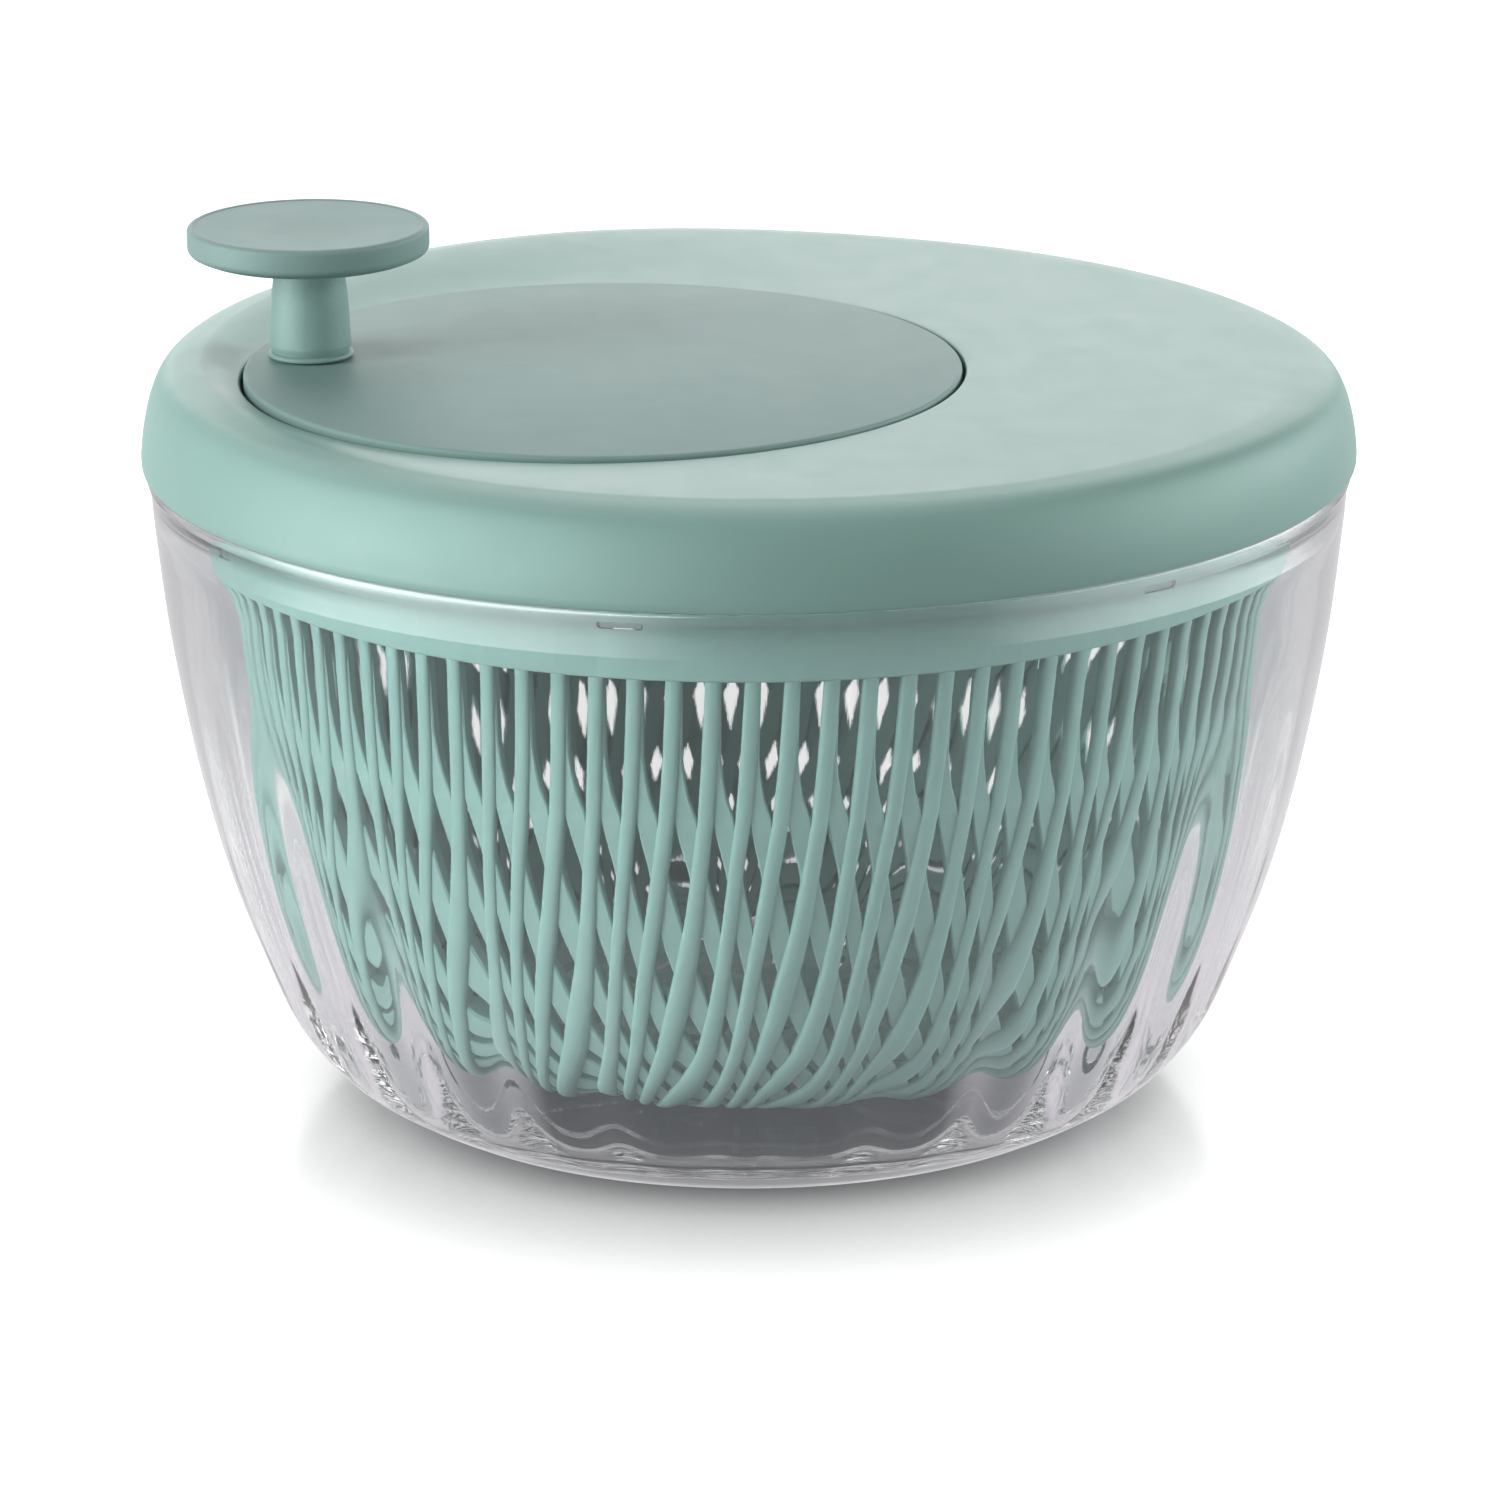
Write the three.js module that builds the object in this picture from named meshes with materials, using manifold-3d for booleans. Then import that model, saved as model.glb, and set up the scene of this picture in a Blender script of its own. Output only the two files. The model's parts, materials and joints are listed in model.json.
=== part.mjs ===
// Salad spinner: clear bowl, lattice basket on a pivot, lid with a geared crank disc and a turning knob.
// Millimetres, +Z up, resting on z = 0, bowl axis at x = y = 0, crank axis towards -X.
import * as THREE from 'three';
import { mergeVertices } from 'three/addons/utils/BufferGeometryUtils.js';
import Module from 'manifold-3d';

const wasm = await Module();
wasm.setup();

// ---- driving dimensions ----
const GAP = 0.4;
const FINE = 48;
const SMALL = 12;

// gear pair: internal ring under the crank disc, pinion on the bowl axis
const GEAR_MODULE = 1.45;
const RING_TEETH = 64;
const PINION_TEETH = 16;
const PRESSURE_ANGLE = THREE.MathUtils.degToRad(20);
const BACKLASH = 0.42;
const CRANK_X = -GEAR_MODULE * (RING_TEETH - PINION_TEETH) / 2;

// heights
const FLOOR_TOP = 7;
const RIM_TOP = 156;
const BEAD_TOP = 150.4;
const SKIRT_BOTTOM = 150.8;
const BASKET_TOP = 149.5;
const NOTCH_BOTTOM = 145;
const BAND_BOTTOM = 130.6;
const PLATE_BOTTOM = 150.2;
const PLATE_TOP = 153;
const HOUSING_BOTTOM = 158.5;
const HOUSING_TOP = 161;
const DISC_BOTTOM = 169.7;
const DISC_TOP = 173;
const KNOB_TOP = 204;

// radii
const LID_RADIUS = 140;
const HOLE_RADIUS = 83;
const DISC_RADIUS = 82.2;
const COVER_RADIUS = 126.5;
const COVER_SCREW_RADIUS = 115;
const COVER_SCREW_ANGLES = [25, 75, 125, 235, 285, 335];
const RING_OUTER = 51;
const RING_FLANGE = 59;
const RING_SCREW_RADIUS = 55;
const RING_SCREW_ANGLES = [20, 110, 200, 290];
const KNOB_ORBIT = 68.1;
const KNOB_ANGLE = THREE.MathUtils.degToRad(155);
const KNOB_RADIUS = 27.75;
const NOTCHES = 6;
const LENSES = 30;

const KNOB_X = CRANK_X + KNOB_ORBIT * Math.cos(KNOB_ANGLE);
const KNOB_Y = KNOB_ORBIT * Math.sin(KNOB_ANGLE);

// ---- materials ----
const MINT = { color: 0x8fbdb2, roughness: 0.42, metalness: 0 };
const MINT_DARK = { color: 0x86aca3, roughness: 0.6, metalness: 0 };
const CLEAR = { color: 0xe9f1f1, roughness: 0.04, metalness: 0, transparent: true, opacity: 0.35 };
const WHITE = { color: 0xe6e8e6, roughness: 0.5, metalness: 0 };
const STEEL = { color: 0xb9bcc0, roughness: 0.32, metalness: 1 };
const BRASS = { color: 0xc2a052, roughness: 0.35, metalness: 1 };

// ---- shape helpers ----
const group = new THREE.Group();
group.name = 'salad_spinner';

function toSolid(geometry) {
  const bare = geometry.clone();
  bare.deleteAttribute('normal');
  bare.deleteAttribute('uv');
  const merged = mergeVertices(bare, 1e-4);
  const index = merged.index.array;
  const kept = [];
  for (let i = 0; i < index.length; i += 3) {
    const a = index[i];
    const b = index[i + 1];
    const c = index[i + 2];
    if (a !== b && b !== c && c !== a) {
      kept.push(a, b, c);
    }
  }
  return new wasm.Manifold(new wasm.Mesh({
    numProp: 3,
    vertProperties: new Float32Array(merged.attributes.position.array),
    triVerts: new Uint32Array(kept),
  }));
}

function toGeometry(solid) {
  const mesh = solid.getMesh();
  const positions = [];
  for (let i = 0; i < mesh.vertProperties.length; i += mesh.numProp) {
    positions.push(mesh.vertProperties[i], mesh.vertProperties[i + 1], mesh.vertProperties[i + 2]);
  }
  const geometry = new THREE.BufferGeometry();
  geometry.setAttribute('position', new THREE.Float32BufferAttribute(positions, 3));
  geometry.setIndex(Array.from(mesh.triVerts));
  geometry.computeVertexNormals();
  return geometry;
}

function addPiece(name, solid, look) {
  const mesh = new THREE.Mesh(toGeometry(solid), new THREE.MeshStandardMaterial(look));
  mesh.name = name;
  group.add(mesh);
}

// closed [radius, height] outline turned about an upright axis through (x, y)
function turned(outline, segments = FINE, x = 0, y = 0) {
  const points = outline.map(([r, z]) => new THREE.Vector2(r, z));
  points.push(points[0].clone());
  const geometry = new THREE.LatheGeometry(points, segments);
  geometry.rotateX(Math.PI / 2);
  geometry.translate(x, y, 0);
  return toSolid(geometry);
}

function rod(radius, bottom, top, segments = SMALL, x = 0, y = 0) {
  return turned([[0, bottom], [radius, bottom], [radius, top], [0, top]], segments, x, y);
}

function tube(inner, outer, bottom, top, segments = SMALL, x = 0, y = 0) {
  return turned([[inner, bottom], [outer, bottom], [outer, top], [inner, top]], segments, x, y);
}

// block spanning inner..outer along a radius, centred across it, turned by angle about the bowl axis
function radialBlock(inner, outer, width, bottom, top, angle) {
  const geometry = new THREE.BoxGeometry(outer - inner, width, top - bottom);
  geometry.translate((outer + inner) / 2, 0, (top + bottom) / 2);
  geometry.rotateZ(angle);
  return toSolid(geometry);
}

// flat outline extruded upwards
function plate(outline, bottom, top) {
  const shape = new THREE.Shape(outline.map(([x, y]) => new THREE.Vector2(x, y)));
  const geometry = new THREE.ExtrudeGeometry(shape, { depth: top - bottom, bevelEnabled: false });
  geometry.translate(0, 0, bottom);
  return toSolid(geometry);
}

function polar(radius, degrees, x = 0) {
  const angle = THREE.MathUtils.degToRad(degrees);
  return [x + radius * Math.cos(angle), radius * Math.sin(angle)];
}

// screw with its head at the bottom, pointing up
function screw(headRadius, headBottom, headTop, shankRadius, tip, x, y) {
  return turned([
    [0, headBottom], [headRadius * 0.8, headBottom], [headRadius, headBottom + 0.5], [headRadius, headTop],
    [shankRadius, headTop], [shankRadius, tip - 1], [0, tip],
  ], 10, x, y);
}

// involute tooth outline; shift thins (negative) or widens (positive) the tooth, both flanks together
function toothedOutline(teeth, rootRadius, tipRadius, shift, x = 0) {
  const pitch = GEAR_MODULE * teeth / 2;
  const base = pitch * Math.cos(PRESSURE_ANGLE);
  const involute = (angle) => Math.tan(angle) - angle;
  const halfAngle = (radius) => {
    const r = Math.max(radius, base * 1.0001);
    const atPitch = Math.PI / (2 * teeth) + shift / (2 * pitch);
    return atPitch + involute(PRESSURE_ANGLE) - involute(Math.acos(base / r));
  };
  const radii = [rootRadius, pitch, tipRadius];
  const outline = [];
  for (let i = 0; i < teeth; i += 1) {
    const centre = i * 2 * Math.PI / teeth;
    for (const r of radii) {
      const angle = centre - halfAngle(r);
      outline.push([x + r * Math.cos(angle), r * Math.sin(angle)]);
    }
    for (const r of radii.slice().reverse()) {
      const angle = centre + halfAngle(r);
      outline.push([x + r * Math.cos(angle), r * Math.sin(angle)]);
    }
  }
  return outline;
}

// ---- bowl: thick clear moulding with a foot ring, rim bead and a centre stub for the basket ----
addPiece('bowl', turned([
  [0, 2], [74, 2], [76, 0], [84, 0], [87.5, 1.2], [94, 4.8], [101.2, 10], [108.9, 20], [115.3, 35],
  [122.5, 55], [128.9, 80], [134.3, 110], [137.2, 135], [137.9, 146.5], [139, 147.8], [139, BEAD_TOP],
  [134.9, BEAD_TOP], [134.9, RIM_TOP], [131.3, RIM_TOP], [133.4, 135], [130.5, 110], [125.2, 80],
  [118.8, 55], [111.7, 35], [105, 21], [97.5, 12.4], [89, 8.4], [80, FLOOR_TOP], [13, FLOOR_TOP],
  [7.6, 9], [6.2, 19.4], [5.6, 20], [0, 20],
]), CLEAR);

// ---- pivot bush: bearing cup that drops over the stub ----
addPiece('pivot_bush', turned([
  [8.1, 9.4], [11.2, 9.4], [11.2, 11], [9.2, 11], [9.2, 23.2], [8.8, 23.6], [0, 23.6],
  [0, 20.4], [6.1, 20.4], [6.8, 19.4],
], 24), WHITE);

// ---- basket: solid rim band, lens shaped openings in staggered rows, slotted floor, hub socket ----
let basket = turned([
  [9.6, 13.4], [12.4, 13.4], [13, 15.5], [72, 15.5], [81, 17.6], [89.5, 22.8], [98, 32.5], [104.8, 45.4],
  [110.8, 66], [115.6, 92], [120.3, BAND_BOTTOM], [120.6, BASKET_TOP], [118.2, BASKET_TOP],
  [117.9, BAND_BOTTOM], [113.2, 92.6], [108.4, 67], [102.6, 46.8], [96.2, 34.4], [88.2, 25.1],
  [80, 19.9], [72, 18], [14, 18], [12, 21], [12, 27], [0, 27], [0, 24], [9.6, 24],
], 2 * LENSES);
const LENS_ROWS = [
  { bottom: 80, top: 128, width: 9, turn: 0 },
  { bottom: 46, top: 90, width: 8.4, turn: 0.5 },
  { bottom: 26, top: 54, width: 6.6, turn: 0 },
];
for (const row of LENS_ROWS) {
  const middle = (row.bottom + row.top) / 2;
  const half = row.width / 2;
  const reach = (row.top - row.bottom) * 0.22;
  const outline = [
    [0, row.bottom], [half, middle - reach], [half, middle + reach], [0, row.top],
    [-half, middle + reach], [-half, middle - reach],
  ];
  const shape = new THREE.Shape(outline.map(([u, v]) => new THREE.Vector2(u, v)));
  for (let i = 0; i < LENSES; i += 1) {
    const geometry = new THREE.ExtrudeGeometry(shape, { depth: 60, bevelEnabled: false });
    geometry.rotateX(Math.PI / 2);
    geometry.rotateZ(Math.PI / 2);
    geometry.translate(70, 0, 0);
    geometry.rotateZ((i + row.turn + 0.25) * 2 * Math.PI / LENSES);
    basket = basket.subtract(toSolid(geometry));
  }
}
for (let i = 0; i < 12; i += 1) {
  basket = basket.subtract(radialBlock(26, 68, 7, 14, 19, (i + 0.5) * Math.PI / 6));
}
for (let i = 0; i < NOTCHES; i += 1) {
  basket = basket.subtract(radialBlock(110, 125, 10, NOTCH_BOTTOM, BASKET_TOP + 2, i * Math.PI / 3));
}
addPiece('basket', basket, MINT);

// ---- lid shell: softly domed top with the crank well opening, skirt, locating rib and screw bosses ----
let lid = turned([
  [137.4, SKIRT_BOTTOM], [139.9, SKIRT_BOTTOM], [LID_RADIUS, 152.6], [139.6, 156.5], [138.9, 160.5],
  [137.8, 164.6], [136.2, 168.2], [134.3, 170.4], [131.6, 171.6], [126, 172.2], [100, 172.1], [50, 172.3],
  [0, 172.4], [0, 170.4], [50, 170.3], [100, 170.1], [127.6, 169.7], [127.6, 151.6], [129.8, 151.6],
  [129.8, 169.4], [132.6, 168.4], [134.6, 165.4], [136.3, 160],
], FINE);
lid = lid.subtract(rod(HOLE_RADIUS, 165, 180, FINE, CRANK_X));
for (const degrees of COVER_SCREW_ANGLES) {
  const [x, y] = polar(COVER_SCREW_RADIUS, degrees);
  const boss = rod(4.4, HOUSING_TOP + GAP, 171.2, SMALL, x, y);
  const pilot = rod(2, HOUSING_TOP, 169, 10, x, y);
  lid = lid.add(boss).subtract(pilot);
}
addPiece('lid_shell', lid, MINT);

// ---- gear housing: plate under the lid with the well wall, crank bearing and pinion hole ----
let housing = rod(COVER_RADIUS, HOUSING_BOTTOM, HOUSING_TOP, FINE);
housing = housing.add(tube(84.6, 86.8, HOUSING_TOP - 1, 169.6, FINE, CRANK_X));
housing = housing.add(rod(9.5, HOUSING_TOP - 1, 165.5, 24, CRANK_X));
housing = housing.subtract(rod(6.5, HOUSING_BOTTOM - 1, 167, 24, CRANK_X));
housing = housing.subtract(rod(6.9, HOUSING_BOTTOM - 1, HOUSING_TOP + 1, 24));
for (const degrees of COVER_SCREW_ANGLES) {
  const [x, y] = polar(COVER_SCREW_RADIUS, degrees);
  housing = housing.subtract(rod(2, HOUSING_BOTTOM - 1, HOUSING_TOP + 1, 10, x, y));
}
addPiece('gear_housing', housing, WHITE);

COVER_SCREW_ANGLES.forEach((degrees, i) => {
  const [x, y] = polar(COVER_SCREW_RADIUS, degrees);
  addPiece(`housing_screw_${i + 1}`, screw(3.6, 156.4, 158.1, 1.5, 168, x, y), STEEL);
});

addPiece('pinion_bush', turned([
  [3.4, 157.3], [8.6, 157.3], [8.6, 158.1], [6.5, 158.1], [6.5, 161.4], [3.4, 161.4],
], 24), BRASS);

// ---- drive: pinion, shaft, circlip, spoked drive plate with lugs for the basket rim ----
const pinionPitch = GEAR_MODULE * PINION_TEETH / 2;
const pinionOutline = toothedOutline(
  PINION_TEETH, pinionPitch - 1.2 * GEAR_MODULE, pinionPitch + 0.9 * GEAR_MODULE, -BACKLASH,
);
const pinion = plate(pinionOutline, 161.8, 168.6).subtract(rod(3.4, 160, 170, 24));
addPiece('pinion', pinion, WHITE);

addPiece('pinion_shaft', turned([
  [1.95, 148.6], [3, 148.6], [3, 168.2], [0, 168.2], [0, 158.5], [1.95, 158.5],
], 24), STEEL);

const clip = tube(3.4, 6, 156.2, 156.9, 24).subtract(radialBlock(0, 8, 2.4, 156, 157, 0));
addPiece('shaft_clip', clip, STEEL);

let drivePlate = tube(106, 120, PLATE_BOTTOM, PLATE_TOP, FINE);
drivePlate = drivePlate.add(rod(17, 148.6, 155.6, 24));
for (let i = 0; i < NOTCHES; i += 1) {
  const angle = i * Math.PI / 3;
  drivePlate = drivePlate.add(radialBlock(10, 108, 14, PLATE_BOTTOM, PLATE_TOP, angle));
  drivePlate = drivePlate.add(radialBlock(14, 110, 2.4, 147, PLATE_BOTTOM + 1, angle));
  drivePlate = drivePlate.add(radialBlock(109, 119.7, 9.2, NOTCH_BOTTOM + GAP, PLATE_BOTTOM + 1, angle));
}
drivePlate = drivePlate.subtract(rod(3.4, 145, 158, 24));
addPiece('drive_plate', drivePlate, MINT_DARK);

addPiece('drive_washer', tube(2, 8, 147.2, 148.2, 16), STEEL);
addPiece('drive_screw', screw(4.2, 145.2, 146.8, 1.55, 157, 0, 0), STEEL);

// ---- crank: flat disc with a bearing post, internal ring gear, its screws, retaining washer and screw ----
let disc = turned([
  [0, 158.3], [6, 158.3], [6, DISC_BOTTOM], [78.8, DISC_BOTTOM], [78.8, 166.2], [81.6, 166.2],
  [DISC_RADIUS, 168], [DISC_RADIUS, DISC_TOP - 0.9], [81.4, DISC_TOP], [0, DISC_TOP],
], FINE, CRANK_X);
for (const degrees of RING_SCREW_ANGLES) {
  const [x, y] = polar(RING_SCREW_RADIUS, degrees, CRANK_X);
  disc = disc.add(rod(3.6, 166.4, DISC_BOTTOM + 0.6, SMALL, x, y));
  disc = disc.subtract(rod(1.7, 166, 171.2, 10, x, y));
}
disc = disc.subtract(rod(1.95, 157, 168, 10, CRANK_X));
disc = disc.subtract(rod(4.1, 165, 175, SMALL, KNOB_X, KNOB_Y));
addPiece('crank_disc', disc, MINT_DARK);

const ringPitch = GEAR_MODULE * RING_TEETH / 2;
const ringSpaces = toothedOutline(
  RING_TEETH, ringPitch - 0.95 * GEAR_MODULE, ringPitch + 1.2 * GEAR_MODULE, BACKLASH, CRANK_X,
);
let ringGear = rod(RING_OUTER, 162.4, 169.3, 60, CRANK_X);
ringGear = ringGear.add(rod(RING_FLANGE, 163.6, 166, 60, CRANK_X));
ringGear = ringGear.subtract(plate(ringSpaces, 160, 172));
ringGear = ringGear.subtract(rod(ringPitch - 0.95 * GEAR_MODULE, 160, 172, 64, CRANK_X));
for (const degrees of RING_SCREW_ANGLES) {
  const [x, y] = polar(RING_SCREW_RADIUS, degrees, CRANK_X);
  ringGear = ringGear.subtract(rod(1.7, 160, 168, 10, x, y));
}
addPiece('ring_gear', ringGear, WHITE);

RING_SCREW_ANGLES.forEach((degrees, i) => {
  const [x, y] = polar(RING_SCREW_RADIUS, degrees, CRANK_X);
  addPiece(`ring_screw_${i + 1}`, screw(2.9, 161.9, 163.2, 1.3, 170.8, x, y), STEEL);
});

addPiece('crank_washer', tube(2, 9, 156.9, 157.9, 16, CRANK_X), STEEL);
addPiece('crank_screw', screw(4.2, 155, 156.5, 1.55, 167.4, CRANK_X, 0), STEEL);

addPiece('knob_pin', turned([
  [0, 166.8], [6, 166.8], [6, 169.3], [3.6, 169.3], [3.6, 190.2], [3.1, 190.2], [3.1, 195], [2.5, 195.6],
  [0, 195.6],
], 16, KNOB_X, KNOB_Y), STEEL);
addPiece('knob_clip', tube(3.5, 5.6, 190.6, 191.4, 16, KNOB_X, KNOB_Y), STEEL);

// ---- knob: tapered stem and mushroom cap, turning together on the pin ----
addPiece('knob_stem', turned([
  [4, DISC_TOP + GAP], [10, DISC_TOP + GAP], [10, 174.4], [9.4, 175.8], [9, 186], [8.2, 192], [7.7, 196.3],
  [6, 196.3], [6, 190.2], [4, 190.2],
], 24, KNOB_X, KNOB_Y), MINT_DARK);

addPiece('knob_cap', turned([
  [4.4, 192.6], [5.6, 192.6], [5.6, 196.7], [9, 196.7], [24.6, 196.8], [26.9, 198], [KNOB_RADIUS, 200.1],
  [27.6, 202.8], [26.6, KNOB_TOP], [0, KNOB_TOP], [0, 197.2], [4.4, 197.2],
], 32, KNOB_X, KNOB_Y), MINT_DARK);

export default group;
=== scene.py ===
"""Salad spinner: the finished surfaces, materials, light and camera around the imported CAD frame.

Shapes are written in millimetres, in the frame of the CAD, and become metres in to_object().
"""
import json
import math

import bpy
import numpy as np
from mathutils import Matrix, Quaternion, Vector


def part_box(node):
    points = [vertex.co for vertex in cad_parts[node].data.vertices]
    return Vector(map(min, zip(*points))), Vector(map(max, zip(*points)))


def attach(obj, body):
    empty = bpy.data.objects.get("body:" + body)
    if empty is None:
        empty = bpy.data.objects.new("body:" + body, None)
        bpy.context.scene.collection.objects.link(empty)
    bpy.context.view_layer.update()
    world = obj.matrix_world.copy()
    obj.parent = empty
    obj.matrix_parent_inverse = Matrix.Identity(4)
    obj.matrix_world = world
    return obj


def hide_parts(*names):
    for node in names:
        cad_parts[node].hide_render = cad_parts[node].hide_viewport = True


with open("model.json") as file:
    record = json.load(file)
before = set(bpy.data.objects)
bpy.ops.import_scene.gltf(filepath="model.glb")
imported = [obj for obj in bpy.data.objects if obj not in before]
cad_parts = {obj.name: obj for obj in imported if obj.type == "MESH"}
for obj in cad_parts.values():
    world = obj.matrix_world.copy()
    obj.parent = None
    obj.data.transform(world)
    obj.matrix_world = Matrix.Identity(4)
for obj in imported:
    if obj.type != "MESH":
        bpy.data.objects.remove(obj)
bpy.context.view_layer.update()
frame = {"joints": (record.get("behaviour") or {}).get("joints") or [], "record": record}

MM = 0.001
# points around a turned shape: large rings, hubs and posts, small hardware
FINE = 360
MEDIUM = 96
SMALL = 48
SHARP_ANGLE = math.radians(38)
# the photo's camera stands on the -Y side, turned about the bowl's axis by this
CAMERA_AZIMUTH = math.radians(-16.87)

# ---- places taken from the frame ----
JOINT_AT = {j["name"]: np.array(j["pos_m"]) / MM for j in frame["joints"] if "pos_m" in j}
CRANK = JOINT_AT["crank_spin"][:2]
KNOB = JOINT_AT["knob_spin"][:2]
BODY_OF = {n: b for b, nodes in frame["record"]["behaviour"]["bodies"].items() for n in nodes}


def measured(node):
    """centre across, radius, lowest and highest level of a round CAD node"""
    low, high = (np.array(corner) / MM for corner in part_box(node))
    return (low[:2] + high[:2]) / 2, (high[0] - low[0]) / 2, low[2], high[2]


_, LID_RADIUS, LID_BOTTOM, _ = measured("lid_shell")
_, DISC_RADIUS, DISC_BOTTOM, DISC_TOP = measured("crank_disc")
_, KNOB_RADIUS, _, KNOB_TOP = measured("knob_cap")
_, _, KNOB_BOTTOM, _ = measured("knob_stem")
_, BASKET_RADIUS, _, BASKET_TOP = measured("basket")


# ---- outlines: lists of (radius, height) ----
def curved(points, per_span=6):
    """Catmull-Rom curve through the points, ends included"""
    p = np.array(points, float)
    p = np.vstack([2 * p[0] - p[1], p, 2 * p[-1] - p[-2]])
    out = []
    for i in range(1, len(p) - 2):
        for t in np.arange(per_span) / per_span:
            a = 2 * p[i] + (p[i + 1] - p[i - 1]) * t
            b = (2 * p[i - 1] - 5 * p[i] + 4 * p[i + 1] - p[i + 2]) * t**2
            c = (3 * p[i] - p[i - 1] - 3 * p[i + 1] + p[i + 2]) * t**3
            out.append(tuple((a + b + c) / 2))
    out.append(tuple(p[-2]))
    return out


def rounded(corners, arc_steps=5):
    """A closed outline in which a corner given as (r, z, radius) becomes an arc of that radius"""
    outline = []
    for i, corner in enumerate(corners):
        point = np.array(corner[:2], float)
        if len(corner) < 3:
            outline.append(tuple(point))
            continue
        before = np.array(corners[i - 1][:2], float) - point
        after = np.array(corners[(i + 1) % len(corners)][:2], float) - point
        before /= np.linalg.norm(before)
        after /= np.linalg.norm(after)
        half = math.acos(np.clip(before @ after, -1, 1)) / 2
        middle = (before + after) / np.linalg.norm(before + after)
        centre = point + middle * corner[2] / math.sin(half)
        start = point + before * corner[2] / math.tan(half) - centre
        end = point + after * corner[2] / math.tan(half) - centre
        first = math.atan2(start[1], start[0])
        turn = (math.atan2(end[1], end[0]) - first + math.pi) % (2 * math.pi) - math.pi
        for step in range(arc_steps + 1):
            angle = first + turn * step / arc_steps
            outline.append(tuple(centre + corner[2] * np.array([math.cos(angle), math.sin(angle)])))
    return outline


# ---- shapes: (points, faces) ----
def wound_outwards(points, faces):
    """The same closed shape with its faces turned to point out of it"""
    volume = 0.0
    for face in faces:
        for i in range(1, len(face) - 1):
            a, b, c = points[face[0]], points[face[i]], points[face[i + 1]]
            volume += a[0] * (b[1] * c[2] - b[2] * c[1]) - a[1] * (b[0] * c[2] - b[2] * c[0])
            volume += a[2] * (b[0] * c[1] - b[1] * c[0])
    return (points, faces) if volume > 0 else (points, [face[::-1] for face in faces])


def band_faces(ring, following, steps):
    """Quads between two rings that start at these vertex numbers"""
    return [
        (ring + j, ring + (j + 1) % steps, following + (j + 1) % steps, following + j) for j in range(steps)
    ]


def end_faces(steps, rings):
    """The two faces that close a tube of rings"""
    return [tuple(range(steps - 1, -1, -1)), tuple(range((rings - 1) * steps, rings * steps))]


def loft(rings):
    """Rings of points joined in turn, the last to the first"""
    count, steps = len(rings), len(rings[0])
    faces = []
    for i in range(count):
        faces += band_faces(i * steps, (i + 1) % count * steps, steps)
    return wound_outwards(np.concatenate(rings), faces)


def turned(outline, steps=MEDIUM, centre=(0, 0), flutes=None):
    """An outline turned about an upright axis. One that starts and ends on the axis is closed there.

    flutes(theta) gives waves that move each ring out by its amplitude, the third value of an outline point.
    """
    theta = np.arange(steps) * 2 * math.pi / steps
    capped = outline[0][0] == 0
    middle = outline[1:-1] if capped else outline
    rings = []
    for r, z, *amplitude in middle:
        radius = r + (amplitude[0] * flutes(theta) if amplitude else 0)
        x, y = centre[0] + radius * np.cos(theta), centre[1] + radius * np.sin(theta)
        rings.append(np.stack([x, y, np.full(steps, float(z))], axis=1))
    if not capped:
        return loft(rings)
    ends = [(centre[0], centre[1], outline[0][1]), (centre[0], centre[1], outline[-1][1])]
    points = np.vstack([np.concatenate(rings), ends])
    faces = []
    for i in range(len(rings) - 1):
        faces += band_faces(i * steps, (i + 1) * steps, steps)
    start, last = len(rings) * steps, (len(rings) - 1) * steps
    faces += [(start, (j + 1) % steps, j) for j in range(steps)]
    faces += [(start + 1, last + j, last + (j + 1) % steps) for j in range(steps)]
    return wound_outwards(points, faces)


def plug(radius, bottom, top, centre=(0, 0), steps=SMALL):
    """A plain cylinder, for bosses and for holes to be cut"""
    return turned([(0, bottom), (radius, bottom), (radius, top), (0, top)], steps, centre)


def prism(outline, bottom, top):
    """A flat (x, y) outline raised from bottom to top"""
    flat = np.array(outline, float)
    count = len(flat)
    levels = [np.column_stack([flat, np.full(count, float(z))]) for z in (bottom, top)]
    faces = band_faces(0, count, count) + end_faces(count, 2)
    return wound_outwards(np.concatenate(levels), faces)


def spun(shape, degrees):
    """A shape turned about the bowl's axis"""
    points, faces = shape
    c, s = math.cos(math.radians(degrees)), math.sin(math.radians(degrees))
    return points @ np.array([[c, s, 0], [-s, c, 0], [0, 0, 1]]), faces


def arm(inner, outer, width, bottom, top, round_by=0.6):
    """A block with rounded edges, lying along +X from radius inner to outer"""
    half = width / 2
    section = rounded([
        (-half, bottom, round_by), (half, bottom, round_by), (half, top, round_by), (-half, top, round_by),
    ], 3)
    rings = [np.array([(x, u, z) for u, z in section]) for x in (inner, outer)]
    count = len(section)
    faces = band_faces(0, count, count) + end_faces(count, 2)
    return wound_outwards(np.concatenate(rings), faces)


def slot_shape(inner, outer, width, bottom, top, end_steps=8):
    """A round-ended slot along +X"""
    half = width / 2
    angles = np.linspace(-math.pi / 2, math.pi / 2, end_steps + 1)
    far = [(outer - half + half * math.cos(a), half * math.sin(a)) for a in angles]
    near = [(inner + half - half * math.cos(a), -half * math.sin(a)) for a in angles]
    return prism(far + near, bottom, top)


def together(shapes):
    """Shapes that stay clear of each other, as one"""
    points, faces, offset = [], [], 0
    for p, f in shapes:
        points.append(p)
        faces += [tuple(i + offset for i in face) for face in f]
        offset += len(p)
    return np.concatenate(points), faces


def polar(radius, degrees, centre=(0, 0)):
    angle = math.radians(degrees)
    return centre[0] + radius * math.cos(angle), centre[1] + radius * math.sin(angle)


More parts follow.
